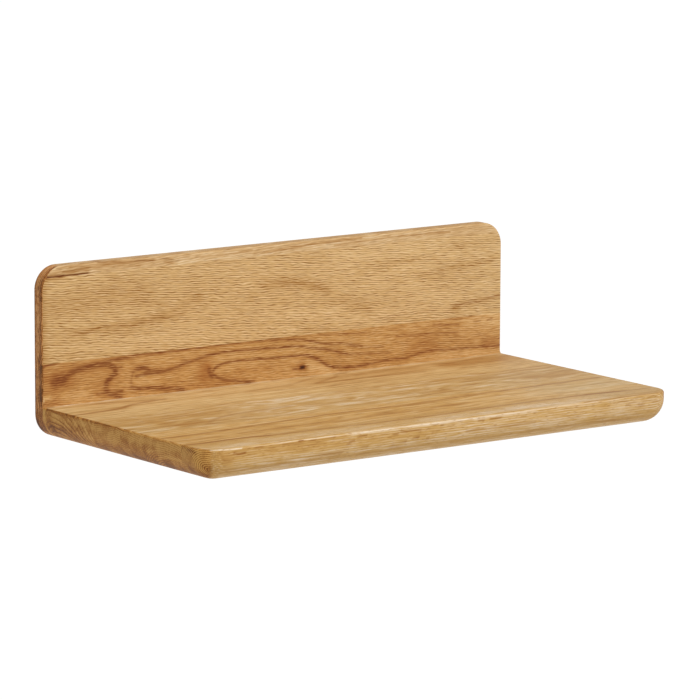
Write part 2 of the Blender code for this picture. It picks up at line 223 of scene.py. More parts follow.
def board_stave(name, back, front):
    """A stave of the board between two distances from the wall: rows run forwards, and the front stave
    has the board's two round corners. The deep rounding below narrows the outline row by row."""
    height, inset = edge_rows(-BOARD_BOTTOM, CORNER_RADIUS, ARRIS, ROUND_STEPS, ARRIS_STEPS)
    reach, half = outline_rows(back, front, 0, SHELF_DEPTH - CORNER_RADIUS, inset, STEP_ACROSS)
    points, faces = block(STEP_ALONG, half, -reach.T, height + BOARD_BOTTOM)
    return object_from(name, points, faces)


def seam(lower, upper, axis):
    """Middle of the glue line between two neighbouring CAD staves."""
    return (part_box(lower)[1][axis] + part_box(upper)[0][axis]) / 2


PANEL_ORDER = ("panel_lower_stave", "panel_middle_stave", "panel_top_stave")
BOARD_ORDER = ("board_rear_strip", "board_second_stave", "board_middle_stave", "board_fourth_stave",
               "board_front_stave")


def make_staves():
    staves = {}
    levels = [BOARD_BOTTOM] + [seam(a, b, 2) for a, b in zip(PANEL_ORDER, PANEL_ORDER[1:])] + [PANEL_TOP]
    for name, low, high in zip(PANEL_ORDER, levels, levels[1:]):
        staves[name] = panel_stave(name + "_oiled", low, high, *FINE_STEPS.get(name, ()))
    lines = [-seam(b, a, 1) for a, b in zip(BOARD_ORDER, BOARD_ORDER[1:])]
    for name, back, front in zip(BOARD_ORDER, [PANEL_THICKNESS] + lines, lines + [SHELF_DEPTH]):
        staves[name] = board_stave(name + "_oiled", back, front)
    return staves


# ---- Holes in the staves, sized from the CAD fittings that sit in them

OVERRUN = 5 * MM  # how far a cutter reaches past the wood
JOINING_SCREW_RADIUS = 2.0 * MM
PLATE_SCREW_RADIUS = 1.5 * MM
DOWEL_HOLE_SPARE = 0.6 * MM  # room for glue at each end of a dowel
HEAD_POCKET_HALF_WIDTH = 6.25 * MM  # lets in the wall screw's head behind a keyhole
HEAD_POCKET_HALF_LENGTH = 12 * MM
WOOD_AHEAD_OF_POCKET = 4.5 * MM


def turned_cutter(node, radii, depths):
    """A profile of radius against depth, turned round the axis of a CAD fitting that points into the wall:
    (x + r cos t, y, z + r sin t)."""
    middle = sum(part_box(node), Vector()) / 2
    turn = np.linspace(0, 2 * pi, HOLE_STEPS + 1)
    radius, depth, turn = np.broadcast_arrays(np.array(radii)[:, None], np.array(depths)[:, None], turn)
    points = np.stack([middle.x + radius * np.cos(turn), depth, middle.z + radius * np.sin(turn)], axis=-1)
    return object_from("hole_" + node, points, quads(np.arange(turn.size).reshape(turn.shape)))


def slot_cutter(name, x, z, half_width, half_length, floor):
    """A round-ended slot let into the back: at each depth its outline is a half circle about each end
    centre, (x + w cos t, z +- (L - w) + w sin t). Its two flat ends close to the middle of the slot."""
    upper = np.linspace(0, pi, HOLE_STEPS // 2 + 1)
    turn = np.concatenate([upper, upper + pi, [2 * pi]])
    shift = (half_length - half_width) * np.repeat([1, -1, 1], [len(upper), len(upper), 1])
    size = np.array([0, 1, 1, 0])[:, None]
    depth = np.array([OVERRUN, OVERRUN, floor, floor])[:, None] + 0 * turn
    points = np.stack([x + size * half_width * np.cos(turn), depth,
                       z + size * (shift + half_width * np.sin(turn))], axis=-1)
    return object_from(name, points, quads(np.arange(depth.size).reshape(depth.shape)))


def screw_hole(node, radius):
    """Countersunk hole that clears a CAD screw all round."""
    low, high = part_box(node)
    head, shank = (high.x - low.x) / 2 + FIT_GAP, radius + FIT_GAP
    top, tip = high.y - FIT_GAP, low.y - FIT_GAP
    return turned_cutter(node, [0, head, head, shank, shank, 0],
                         [OVERRUN, OVERRUN, top, top - (head - shank), tip, tip])


def dowel_hole(node):
    low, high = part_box(node)
    radius = (high.x - low.x) / 2 + FIT_GAP
    start, end = high.y + DOWEL_HOLE_SPARE, low.y - DOWEL_HOLE_SPARE
    return turned_cutter(node, [0, radius, radius, 0], [start, start, end, end])


def hanger_cutters(node):
    """Recess for a keyhole plate, and the deeper pocket behind its keyhole."""
    low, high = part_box(node)
    x, _, z = (low + high) / 2
    recess = slot_cutter("recess_" + node, x, z, high.x - x + FIT_GAP, high.z - z + FIT_GAP, low.y - FIT_GAP)
    pocket = slot_cutter("pocket_" + node, x, z, HEAD_POCKET_HALF_WIDTH, HEAD_POCKET_HALF_LENGTH,
                         WOOD_AHEAD_OF_POCKET - PANEL_THICKNESS)
    return recess, pocket


def cut(piece, cutters):
    """Takes each cutter's shape out of a piece, for good."""
    for cutter in cutters:
        modifier = piece.modifiers.new("cut", "BOOLEAN")
        modifier.operation = "DIFFERENCE"
        modifier.solver = "MANIFOLD"
        modifier.object = cutter
    solid = piece.evaluated_get(bpy.context.evaluated_depsgraph_get())
    mesh = bpy.data.meshes.new_from_object(solid)
    piece.modifiers.clear()
    piece.data = mesh


def cut_holes(staves):
    """Cuts the row of screws and dowels through the staves behind and below it, and the hangers' holes."""
    def named(start):
        return [node for node in sorted(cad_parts) if node.startswith(start)]

    row = [screw_hole(node, JOINING_SCREW_RADIUS) for node in named("joining_screw")]
    row += [dowel_hole(node) for node in named("dowel")]
    hangers = [cutter for node in named("keyhole_plate") for cutter in hanger_cutters(node)]
    hangers += [screw_hole(node, PLATE_SCREW_RADIUS) for node in named("plate_screw")]
    for name in ("panel_lower_stave", "board_rear_strip", "board_second_stave"):
        cut(staves[name], row)
    cut(staves["panel_middle_stave"], hangers)
    for cutter in row + hangers:
        bpy.data.objects.remove(cutter)


# ---- Figure of the wood, with painted highlights, sheen and shade, drawn on each stave

CURVE_STEPS = 6  # straight runs between two corners of a stroke
STROKE_REACH = 3  # widths at which a stroke has faded out


def smooth_path(corners):
    """A Catmull-Rom curve through the corners: p(t) = sum of cubic weights times four corners in a row."""
    ends = np.concatenate([[2 * corners[0] - corners[1]], corners, [2 * corners[-1] - corners[-2]]])
    t = np.linspace(0, 1, CURVE_STEPS, endpoint=False)[:, None, None]
    a, b, c, d = ends[:-3], ends[1:-2], ends[2:-1], ends[3:]
    curve = 0.5 * (2 * b + (c - a) * t + (2 * a - 5 * b + 4 * c - d) * t ** 2 + (3 * b - a - 3 * c + d) * t ** 3)
    return np.concatenate([curve.transpose(1, 0, 2).reshape(-1, 2), corners[-1:]])


def drawn(places, strokes, spread=1.0, edge=2):
    """Strength of the drawn strokes at each place: each stroke is (width, strength, corner, corner, ...) in
    millimetres, and fades as strength times exp(-(distance / (width * spread))^edge). The strongest stroke
    counts, and the strongest negative one is added to it."""
    above, below = np.zeros(len(places)), np.zeros(len(places))
    for width, peak, *corners in strokes:
        path, width = smooth_path(np.array(corners, float)), width * spread
        reach = STROKE_REACH * width
        near = np.all((places > path.min(0) - reach) & (places < path.max(0) + reach), axis=1)
        start, run = path[:-1], np.diff(path, axis=0)
        offset = places[near][:, None] - start
        share = np.clip((offset * run).sum(-1) / np.maximum((run * run).sum(-1), WELD), 0, 1)
        distance = np.linalg.norm(offset - share[..., None] * run, axis=-1).min(axis=1)
        fade = peak * np.exp(-(distance / width) ** edge)
        above[near], below[near] = np.maximum(above[near], fade), np.minimum(below[near], fade)
    return above + below


# Dark latewood lines as (width, strength, corners...). Places on the panel are (along the shelf, height); on the
# board they are (along the shelf, distance to the wall), and run on down its front edge.
SEAM_LINE = (1, 1.5, (-247, 112.9), (-240, 113.1), (-228, 113.2))  # on both sides of the panel's upper seam
LATEWOOD = {
    "panel_top_stave": [SEAM_LINE, (0.9, 1.1, (-229, 112.9), (-215, 113.1), (-203, 113.2)),
        (0.7, 0.3, (-203, 113.1), (-190, 113.2)), (0.6, 0.35, (-192, 121.6), (-172, 120.3), (-156, 119.7)),
        (0.6, 0.6, (-155, 119.6), (-144, 119.3), (-135, 118.9)),
        (0.6, 0.4, (-128, 120.1), (-118, 118.2), (-109, 115.8)),
        (0.6, 0.4, (-229, 116.3), (-216, 116.9), (-202, 117.6))],
    "panel_lower_stave": [(1.1, 0.9, (-250, 34.7), (-246, 36.6), (-233, 38.2)),
        (5.4, 0.95, (-237, 20.8), (-229, 22.8)),
        (2.7, 0.92, (-229, 24), (-216, 29.4), (-204, 31.1), (-190, 32.1), (-181, 32.2)),
        (1.7, 0.74, (-186, 33.4), (-180, 34.5), (-168, 35.6), (-152, 37)),
        (1.2, 0.7, (-152, 37), (-135, 36.7), (-118, 36.5), (-86, 37.2), (-62, 37.5), (-39, 37.5), (-10, 36.9),
            (7, 35.4), (25, 33), (36, 31), (46, 28.1), (57, 26.5), (68, 25.8)),
        (1.7, 0.66, (70, 25.8), (80, 23.3), (91, 21)), (1, 0.4, (92, 20.6), (100, 19.8), (115, 19)),
        (2.7, 0.92, (-181, 30.8), (-176, 27.4), (-175, 23), (-180, 19.2), (-184, 15.3), (-185, 10.6), (-182, 6.5),
            (-175, 2.9), (-170, 1)),
        (1.1, 0.57, (-175, 27.7), (-169, 27.7)), (1.2, 0.57, (-194, 6.4), (-182, 6.5), (-168, 6.6)),
        (1.7, 0.78, (-156, 22.6), (-152, 25), (-148, 25.8), (-142, 23.8), (-139, 21)),
        (2.2, 0.75, (-152, 24.2), (-146, 24.4), (-141, 22)), (1.8, 0.6, (-144, 20.2), (-136, 20.3), (-126, 20.2)),
        (1.7, 0.66, (-153, 18), (-141, 19), (-128, 19.3), (-119, 20.2)),
        (1.1, 0.41, (-157, 22), (-158.5, 14.7), (-158, 9)),
        (1.7, 0.82, (-158, 8.9), (-152, 7.1), (-141, 6.7), (-124, 4.6), (-112, 3.1), (-104, 1.5)),
        (1.4, 0.74, (-128, 19.3), (-113, 21.2), (-102, 24.4), (-97, 25.1), (-85, 27.8), (-74, 29.5), (-62, 30.3),
            (-45, 30.1), (-28, 29.7), (-10, 29.2), (7, 28.7), (19, 28), (30, 26.2), (42, 23.9), (54, 21.8),
            (66, 17.8), (74, 15.7)),
        (1.2, 0.41, (74, 15.7), (84, 15), (98, 14), (120, 13)),
        (1.3, 0.78, (-72, 13.9), (-70, 17), (-62, 20.1), (-51, 21.1), (-37, 21.2), (-22, 20.7), (-5, 19.8),
            (7, 19.8), (19, 19.6), (30, 18.7)),
        (1.6, 0.82, (30, 18.7), (39, 15.6), (46, 11.7), (52, 7.9), (60, 5.1)),
        (2.6, 0.92, (-76, 16), (-75, 13), (-73, 10.5)),
        (1.4, 0.74, (-74, 13), (-70, 10.1), (-62, 6.5), (-51, 3.9), (-39, 1.6), (-28, 0.3)),
        (1.4, 0.85, (58, 5.5), (70, 3.9), (85, 3.4), (98, 4.2)),
        (1.2, 0.65, (98, 4.2), (112, 5.6), (126, 5.9), (137, 5.4), (146, 6.6), (154, 8.4), (166, 9.6), (182, 9.3),
            (203, 8.2), (226, 8), (251, 6.3)),
        (1.8, 1.6, (23.4, 8.3), (26.6, 8.4)), (1.3, 0.66, (15, 7.9), (22, 8.1), (31, 8.2)),
        (0.9, 0.41, (34, 33.6), (42, 29.9), (54, 27.3), (78, 24.6)), (0.9, 0.33, (42, 37), (78, 33.8), (100, 32.5)),
        (1, 0.57, (192, 38.2), (203, 38), (216, 37.7)), (0.9, 0.41, (172, 33.2), (185, 31.6), (201, 30.8)),
        (0.8, 0.41, (218, 31.6), (226, 31.6)), (0.8, 0.57, (234, 31.9), (239, 32.2)),
        (0.9, 0.33, (130, 27), (168, 25), (200, 24)), (0.8, 0.22, (-249, 2), (-243, 7), (-240, 12)),
        (0.8, 0.22, (-246, 1), (-238, 6), (-231, 11)), (0.8, 0.2, (-241, 0.6), (-229, 5.5), (-220, 10)),
        (0.8, 0.2, (-234, 0.4), (-222, 4), (-210, 8))],
    "panel_middle_stave": [SEAM_LINE,
        (0.9, 0.25, (-216, 61.6), (-207, 60.8), (-194, 64.1), (-174, 64.7), (-162, 62.9), (-152, 63.7),
            (-137, 65.8), (-120, 67.3), (-107, 68.7), (-90, 74)),
        (1.2, 0.25, (120, 45), (150, 46.5), (175, 47)), (1.2, 0.45, (195, 48.5), (225, 51), (250, 54))],
    "board_second_stave": [
        (2.6, 0.75, (-250, 59), (-232, 58), (-215, 56), (-195, 53), (-180, 44), (-160, 39), (-140, 37)),
        (2.4, 0.45, (-225, 15), (-200, 22), (-170, 30), (-150, 35), (-140, 37)),
        (2.4, 0.35, (-62, 48), (-45, 45), (-20, 42), (0, 38), (15, 30), (35, 20)),
        (2.4, 0.35, (-62, 48), (-45, 55), (-25, 61), (-8, 63)), (2.4, 0.5, (15, 48), (30, 41), (45, 33), (55, 24)),
        (2.2, 0.4, (15, 48), (30, 49), (50, 50), (70, 51), (130, 55)), (2.6, 0.6, (57, 20), (67, 20)),
        (2.6, 0.5, (68, 33), (77, 33)), (2.6, 0.45, (160, 38), (185, 31), (200, 27), (245, 17)),
        (2.6, 0.4, (160, 38), (190, 44), (230, 46)), (2, 0.35, (170, 58), (240, 60)),
        (2, 0.3, (0, 66), (40, 65), (80, 63))],
    "board_middle_stave": [(2.2, 0.35, (-195, 114), (-170, 114), (-150, 115)),
        (2.6, 0.4, (-175, 155), (-160, 143), (-140, 134), (-110, 130), (-70, 128)),
        (3, 0.35, (-238, 147), (-232, 147)), (2.6, 0.25, (-60, 140), (0, 137), (60, 139), (130, 133)),
        (2.6, 0.25, (90, 112), (140, 108), (200, 110))],
    "board_fourth_stave": [(2.2, 0.7, (-250, 192), (-200, 191), (-165, 188), (-140, 186)),
        (2.2, 0.62, (-140, 186), (-120, 183), (-60, 179), (0, 181), (30, 181), (60, 178), (100, 174), (150, 172),
            (240, 168)),
        (2.2, 0.25, (-180, 208), (-100, 206), (-20, 208), (60, 204))],
    "board_front_stave": [(2.2, 0.9, (-250, 226), (-230, 228), (-190, 227), (-165, 231)),
        (2, 0.6, (-165, 231), (-130, 232), (-100, 232.5), (-60, 235), (0, 235), (50, 233), (100, 231), (150, 231),
            (175, 231.5)),
        (2.2, 0.9, (172, 231.5), (185, 232), (200, 234), (215, 235.5)), (2, 0.5, (215, 235.5), (240, 237)),
        (1.2, 0.5, (150, 259.2), (190, 258.8), (238, 258.4)), (0.6, 1.2, (-156.5, 261.4), (-151, 261.1)),
        (0.6, 0.8, (-201, 262.3), (-193, 262.2)), (0.8, 1, (-222, 264.4), (-217, 265.6), (-210, 265.2)),
        (0.5, 0.8, (-146, 262.5), (-139, 262.1)), (0.5, 0.7, (-125, 262), (-119, 261.7)),
        (0.6, 0.7, (-109, 270.7), (-104, 269.2), (-98, 267.9)),
        (0.7, 0.5, (-200, 275.1), (-165, 275.6), (-142, 275.6), (-110, 276.8)),
        (0.8, 0.35, (-240, 279.5), (-205, 280.6), (-174, 280.9), (-120, 282)),
        (0.7, 0.4, (-60, 279), (-10, 280), (40, 279.4)), (0.7, 0.4, (20, 271.5), (60, 271.2), (95, 272)),
        (0.7, 0.35, (95, 281.5), (150, 281), (205, 282)), (0.5, 0.5, (184, 264.8), (191, 263.4), (199, 264.6)),
        (0.5, 0.5, (201, 263.2), (209, 261.9), (217, 263)), (0.5, 0.5, (219, 263.6), (226, 262.4), (233, 263.8)),
        (0.5, 0.5, (196, 267.2), (203, 265.8), (211, 266.9)), (0.5, 0.5, (213, 266.9), (220, 265.6), (227, 266.8)),
        (0.5, 0.5, (228, 267.6), (234, 266.2), (240, 267.4)), (0.5, 0.4, (205, 270.6), (213, 269.4), (221, 270.5))],
}

# Short open pores on the front edge
FRONT_PORES = [((-94.9, 264.5), (-86.3, 263.8)), ((-104.5, 267.7), (-98.9, 266.8)),
    ((-107.9, 270.4), (-105.6, 270.5)), ((-124.2, 262.2), (-120, 262.4)), ((-58.2, 266.3), (-53.3, 266.3)),
    ((-49.6, 264.4), (-42, 265)), ((-40.5, 264.7), (-28.4, 265.5)), ((-36.6, 271.1), (-31.3, 271.4)),
    ((-33.7, 273), (-30.6, 273.1)), ((-61.1, 275.4), (-59.2, 275.4)), ((-55.5, 274.9), (-49.9, 274.9)),
    ((-49.5, 273.4), (-43.6, 273.6)), ((-90.9, 273.3), (-84, 273.5)), ((-27.7, 270.4), (-24.5, 270.4)),
    ((-17.1, 268.8), (-8.6, 268.4)), ((-22.4, 273.6), (-19.9, 273.6)), ((-7.9, 263.6), (-4.3, 263.6)),
    ((-11.8, 267.8), (-8.6, 267.8)), ((32.9, 264.2), (38.3, 264.2)), ((45.9, 263.7), (57.6, 263.6))]
LATEWOOD["board_front_stave"] += [(0.6, 0.85, *pore) for pore in FRONT_PORES]

# Warmer zones, or paler where the strength is negative; some pale strokes are painted highlights, glints, sheen and
# light, and are marked where they stand
WARMTH_AND_PAINTED_LIGHT = {
    # The pale patches along the rear strip, where it meets the panel, are paler wood with painted highlights on it
    "board_rear_strip": [(1.8, -0.8, (-236, 14), (-200, 14)), (1.8, -1.3, (-229, 14), (-226, 14)),
        (1.8, -0.6, (-188, 14), (-160, 14)), (1.8, -0.5, (-50, 15), (-12, 15))],
    "panel_top_stave": [(1.4, -0.5, (-243, 120.6), (-236, 121.2)), (1.6, 0.2, (-241, 117), (-231, 117.2)),
        (2, 0.35, (-250, 122.4), (250, 122.4)), (2.5, -0.25, (-20, 116.5), (60, 117), (160, 116.5)),
        (2, 0.4, (-225, 116), (-190, 119), (-150, 119)), (0.8, 0.5, (-196, 118.4), (-186, 117.6), (-176, 116.4)),
        (0.7, 0.5, (-172, 117.2), (-160, 115.8), (-149, 114.8)),
        (0.7, 0.6, (-229, 116.4), (-216, 117.1), (-196, 118.2)),
        (0.7, 0.5, (-222, 119.8), (-205, 121.2), (-192, 122)),
        (0.8, 0.5, (-192, 121.8), (-172, 120.3), (-152, 119.5), (-133, 118.8)),
        (1, 0.4, (-123, 116.1), (-116, 114.8), (-110, 113.6)), (0.9, 0.5, (-90, 118.5), (-60, 117.4), (-30, 118.6)),
        (2, 0.14, (-172, 116), (-135, 116)), (3, 0.14, (195, 119), (240, 119)),
        (2.5, -0.4, (-112, 115.5), (-60, 115), (-15, 115.5)),
        (0.9, 0.7, (-28, 115.4), (6, 116.8), (40, 118.8), (90, 119.6)),
        (0.9, 0.6, (60, 115.6), (130, 117.5), (190, 117.2)), (2, -0.4, (-95, 119), (-60, 116))],
    "panel_middle_stave": [(7, 0.5, (-251, 38), (-251, 108)),
        (5, 0.21, (-250, 60), (-200, 63), (-150, 66), (-125, 69), (-105, 76), (-85, 83)),
        (4, 0.18, (-240, 82), (-180, 84), (-120, 80)), (4.5, 0.36, (-15, 87), (8, 86), (25, 84), (42, 79), (52, 76)),
        (4, 0.18, (40, 62), (90, 66), (140, 75)), (7, 0.2, (78, 66), (88, 58), (100, 52)),
        (3.5, 0.21, (110, 90), (160, 98), (205, 104)), (3.5, 0.21, (155, 80), (200, 84), (240, 88)),
        (3, 0.27, (20, 41), (120, 43), (200, 46)), (6, -0.21, (-60, 60), (60, 52)), (7, -0.18, (150, 60), (230, 66)),
        (6, -0.18, (-200, 46), (-120, 48)), (9, -0.35, (60, 104), (120, 107), (185, 103)),
        (6, -0.4, (60, 44), (120, 46), (185, 46)), (14, 0.26, (-250, 86), (-190, 90), (-150, 90)),
        (7, -0.2, (80, 88), (170, 88)), (7, -0.2, (80, 72), (170, 72)), (5, -0.2, (-112, 46), (0, 45), (100, 46)),
        (5, -0.2, (-112, 57), (-72, 57)), (6, -0.45, (12, 57), (62, 56)), (5, 0.1, (-240, 44), (-190, 44)),
        (6, 0.07, (195, 72), (240, 72)), (6, 0.14, (-246, 102), (-224, 102))],
    "panel_lower_stave": [(7, 0.4, (-251, 0), (-251, 38)), (7, 0.3, (-240, 22), (-225, 24)),
        # The narrow, very pale stroke at -249 mm is a painted glint on the panel's left edge
        (0.5, -2.2, (-249.2, 4.8), (-249.2, 9.2)), (6, 0.5, (-79, 20), (-84, 14), (-82, 8)),
        (3.5, 0.32, (-97, 3.5), (-74, 2), (-57, 2)), (5, -0.7, (34, 9.4), (46, 5.4), (54, 2.6)),
        (6, -0.5, (-226, 8), (-208, 7)), (10, 0.32, (150, 13), (160, 16), (168, 13)), (7, 0.4, (235, 9), (251, 9)),
        (5, 0.25, (-250, 3), (-225, 4)), (8, -0.3, (-60, 25), (-10, 24), (30, 27), (70, 24), (108, 21)),
        (6, 0.2, (-46, 12), (-14, 12)), (8, -0.35, (150, 1), (200, 2), (250, 0)), (8, -0.25, (30, 2), (60, 0)),
        (9, -0.5, (215, 32), (250, 34)), (6, -0.3, (-150, 12), (-135, 12)), (5, 0.1, (-235, 13), (-195, 13)),
        (4, -0.15, (-50, 33), (50, 33)), (1.6, -0.7, (-247, 8.5), (-243, 8.5))],
    "board_second_stave": [(16, 0.3, (20, 40), (128, 38)), (8, 0.12, (195, 72), (240, 72)),
        (3, 0.12, (75, 16), (110, 16)), (14, 0.55, (170, 40), (240, 36)), (9, -0.3, (-110, 70), (-60, 76), (0, 80)),
        (7, -0.3, (-200, 68), (-150, 60)), (8, 0.1, (-245, 50), (-195, 50))],
    "board_middle_stave": [(10, 0.5, (-210, 115), (-205, 140)), (8, 0.6, (-200, 150), (-175, 145)),
        # The pale patches near 86, 100 and 148 mm are pale ray flecks with a painted sheen over them
        (6, 0.4, (60, 145), (90, 145)), (7, -0.8, (-65, 100), (-35, 99)), (6, -0.55, (-90, 86), (-60, 85)),
        (6, -0.4, (-90, 150), (-60, 150)), (5, -0.35, (-30, 148), (-10, 148)), (4, 0.25, (-172, 134), (-148, 133)),
        (16, 0.4, (195, 132), (250, 130)), (16, 0.1, (140, 112), (250, 112)),
        (10, 0.22, (10, 94), (120, 95), (240, 96)), (14, 0.3, (-250, 112), (-140, 116)),
        (13, -0.25, (-80, 108), (20, 106), (90, 104)), (9, 0.24, (-172, 144), (-120, 143)),
        (9, 0.18, (-120, 143), (-80, 143)), (8, 0.12, (-245, 95), (-195, 95)), (9, -0.3, (5, 143), (65, 143))],
    "board_fourth_stave": [(14, 0.2, (-250, 207), (-100, 208), (50, 205)),
        (16, -0.25, (140, 204), (190, 203), (250, 203)), (7, 0.22, (-245, 165), (-190, 165)),
        (5, 0.2, (-55, 184), (45, 184)), (8, 0.24, (-245, 198), (-190, 198), (-135, 197)),
        (9, 0.28, (-250, 211), (-205, 211)), (6, 0.1, (85, 197), (240, 197))],
    "board_front_stave": [(5, 0.18, (-250, 226), (-100, 228), (60, 228)), (9, 0.2, (-245, 238), (-200, 236)),
        (5, 0.12, (-175, 253), (-135, 253)), (8, -0.2, (-250, 248), (-160, 249), (-70, 249)),
        (8, -0.3, (-20, 250), (80, 249), (180, 250)), (7, 0.15, (190, 253), (245, 253)),
        # Painted highlight: the thin, strongly pale strokes at 260 to 262 mm along the front arris, with brighter
        # painted glints round the left corner
        (0.5, -0.6, (-160, 260.8), (0, 260.7), (150, 260.8)),
        (0.8, -1.3, (-243, 254.4), (-240, 256.8), (-236, 258.8), (-231, 260.1), (-224, 260.6), (-214, 260.9)),
        (0.6, -0.45, (-212, 260.8), (-190, 260.9), (-160, 261)),
        (0.7, -0.8, (-153, 260.6), (-140, 260.9), (-124, 260.6), (-96, 260.8)),
        (1.1, -0.95, (-92, 261.2), (-76, 261.6), (-60, 261.2)), (0.7, -1.2, (-90, 260.8), (-52, 260.6), (-20, 260.9)),
        (0.7, -0.6, (-101, 261.6), (-91, 261.6)), (0.7, -0.6, (-68, 261.8), (-42, 261.6), (-8, 261.9)),
        (1.2, -0.95, (-16, 261.1), (24, 261.5), (58, 261.8), (84, 261.9)),
        (0.7, -0.35, (78, 260.7), (98, 260.6), (120, 260.6)), (0.8, -0.6, (78, 262), (98, 261.9)),
        (0.6, -0.45, (126, 260.8), (150, 260.7), (196, 260.9)), (7, 0.12, (-245, 267), (-160, 268), (-20, 267)),
        (4, 0.25, (-185, 266), (-130, 267)), (0.9, 0.6, (-172, 262.7), (-145, 262.3), (-126, 262.2)),
        (0.9, 0.4, (-224, 262.8), (-200, 262.5), (-176, 262.6)), (0.6, 0.4, (-119, 261.9), (-108, 261.8)),
        (0.6, 0.35, (96, 261.9), (118, 261.8)), (4, 0.15, (-115, 283), (90, 283)), (4, 0.2, (185, 283), (240, 283)),
        (4, -0.3, (-168, 283), (-125, 283)), (4, -0.25, (-232, 275), (-180, 275)), (7, -0.55, (76, 247), (114, 247)),
        (5, -0.4, (-230, 252), (-196, 252)), (5, 0.1, (135, 252), (172, 252)),
        (4, -0.2, (10, 268), (60, 268), (110, 269)), (5, -0.3, (180, 268), (235, 267)),
        # Painted light: the long pale bands at 275 and 289 mm lighten the front edge's lower rounding, which turns
        # downwards
        (3.5, -0.25, (-170, 275), (150, 275)), (6, 0.5, (-248, 285), (-236, 289)), (9, 0.4, (-233, 264), (-226, 276)),
        (5, -0.2, (-240, 289), (240, 289))],
}

# Lines of the end grain, dark or (negative) pale, and a few broad patches, at places (distance to the wall, height)
END_FIGURE = {
    "panel_top_stave": [(0.8, 0.9, (11, 110), (11, 123)), (1.4, -0.5, (6, 110), (6, 123))],
    "panel_middle_stave": [(0.8, 0.9, (10.6, 35), (10.2, 75)), (0.9, 0.9, (10.8, 76), (10.6, 118)),
        (0.6, 0.8, (7.6, 35), (7.4, 58), (8.2, 70)), (0.6, 0.7, (8.2, 88), (7.6, 112)),
        (0.9, -1.6, (6.4, 98), (6.8, 101)), (0.9, -1.6, (6.6, 92), (7, 95)), (0.9, -1.3, (4.6, 84), (4.6, 88)),
        (0.9, -1.3, (6, 70), (6.3, 78)), (0.9, -1.3, (6.4, 58), (6, 64)), (0.9, -1.3, (6.2, 44), (6.6, 52)),
        (0.8, -0.2, (3.6, 35), (4, 115)), (0.8, -0.1, (12.6, 35), (12.6, 115)),
        (0.9, 0.9, (1, 35), (1.2, 80), (1, 118))],
    "panel_lower_stave": [(0.8, 0.9, (10.6, 40), (10.8, 0), (11.2, -14), (12, -29)),
        (0.5, 0.8, (8.1, 40), (8, 10), (8, -28)), (1.2, -0.5, (5.6, 40), (6, -28)),
        # The broad strokes of width 5 and 4 below darken this end towards the bottom, near the wall
        (0.7, -0.15, (12.6, 40), (12.6, 2)), (0.9, 0.6, (1, 40), (1, -28)), (5, 0.42, (4, -2), (4, -26)),
        (4, 1.3, (3, -13), (3, -20)), (2, 0.5, (10.8, -3), (11, -26)), (2.2, 0.9, (9.6, 17), (9.8, 6)),
        (1.6, 0.6, (6, 11), (6, 4))],
    "board_rear_strip": [(1.8, -0.9, (14.8, 0), (14.8, -28))],
    "board_second_stave": [(4.5, -0.5, (69, -1), (77, -8), (84, -16), (88, -28)),
        (1.6, 0.6, (64, 0), (72, -8), (79, -18), (82, -28))],
    "board_middle_stave": [(1.6, -0.6, (148, 0), (155, -4), (164, -9)), (1.4, -0.5, (154, 0), (163, -5))],
    "board_fourth_stave": [(1.4, -0.6, (172, -14), (182, -11), (193, -10)),
        (1.3, -0.5, (185, -18.7), (201, -13.8), (222, -13.8))],
    "board_front_stave": [(1.6, 0.7, (234, -2.5), (244, -3.5)), (3, 0.4, (250, -15), (253, -18))],
}

# Broad dark or (negative) pale bands and patches of the board's whole end. Some are painted light and shade: the dark
# line along its top edge, the pale bands just below it, the dark bands over its lower half where the end turns
# down, and a painted glint near the top of the front corner
BOARD_END_BANDS_AND_PAINTED_SHADE = [(0.8, 0.6, (14, -0.5), (145, -0.5)), (4.5, -0.3, (20, -5.5), (120, -5), (145, -5)),
    (5, -0.45, (145, -4), (190, -3.5), (235, -4.5)), (6, -0.45, (92, -10), (124, -13)),
    (6, 0.45, (25, -20), (120, -22), (235, -23)), (6, 0.6, (0, -15), (12, -16), (54, -17)),
    (6, -0.55, (230, -8), (252, -10)), (5, 0.35, (235, -23), (256, -24)), (2.5, -0.85, (65, -4.5), (79, -5)),
    (3, -0.5, (90, -6), (130, -6)), (1.8, -0.8, (240, -1.5), (249, -2.5)), (5, 0.62, (130, -24), (205, -24)),
    (3.5, -0.7, (163, -5), (190, -5))]

# The black heart of the small knot
KNOT = {
    "panel_lower_stave": [(1.5, 1, (24, 8.3), (26.2, 8.4))],
}

# Painted sheen that greys the right of the board's top
PAINTED_SHEEN_GREY = {
    "board_middle_stave": [(28, 0.08, (165, 124), (250, 124))],
    "board_fourth_stave": [(32, 0.2, (175, 192), (250, 192))],
    "board_front_stave": [(18, 0.12, (185, 243), (250, 243))],
}

LINE_EDGE = 3  # how sharply a latewood line ends sideways
HALO_SPREAD = 2.4  # warm glow beside a latewood line, as a multiple of its width
HALO = {"panel": 0.5, "board": 0.15}  # and as a share of its strength
FIGURE = ("latewood", "warmth_and_painted_light", "end_figure", "knot", "grey")


def part_of(node):
    """Which of the two boards a stave belongs to."""
    return "panel" if node in PANEL_ORDER else "board"


def board_places(x, y, z):
    """Places on the board as (along the shelf, distance to the wall), where the distance runs on down the
    front and, as radius times angle, round its deep rounding."""
    radius = CORNER_RADIUS / MM
    out, fall = SHELF_DEPTH / MM - radius, -BOARD_BOTTOM / MM - radius
    turn = np.arctan2(-z - fall, -y - out)
    rounded = (-z > fall) & (-y > out)
    return np.stack([x, np.where(rounded, out + radius + fall + radius * turn, -y - z)], axis=1)


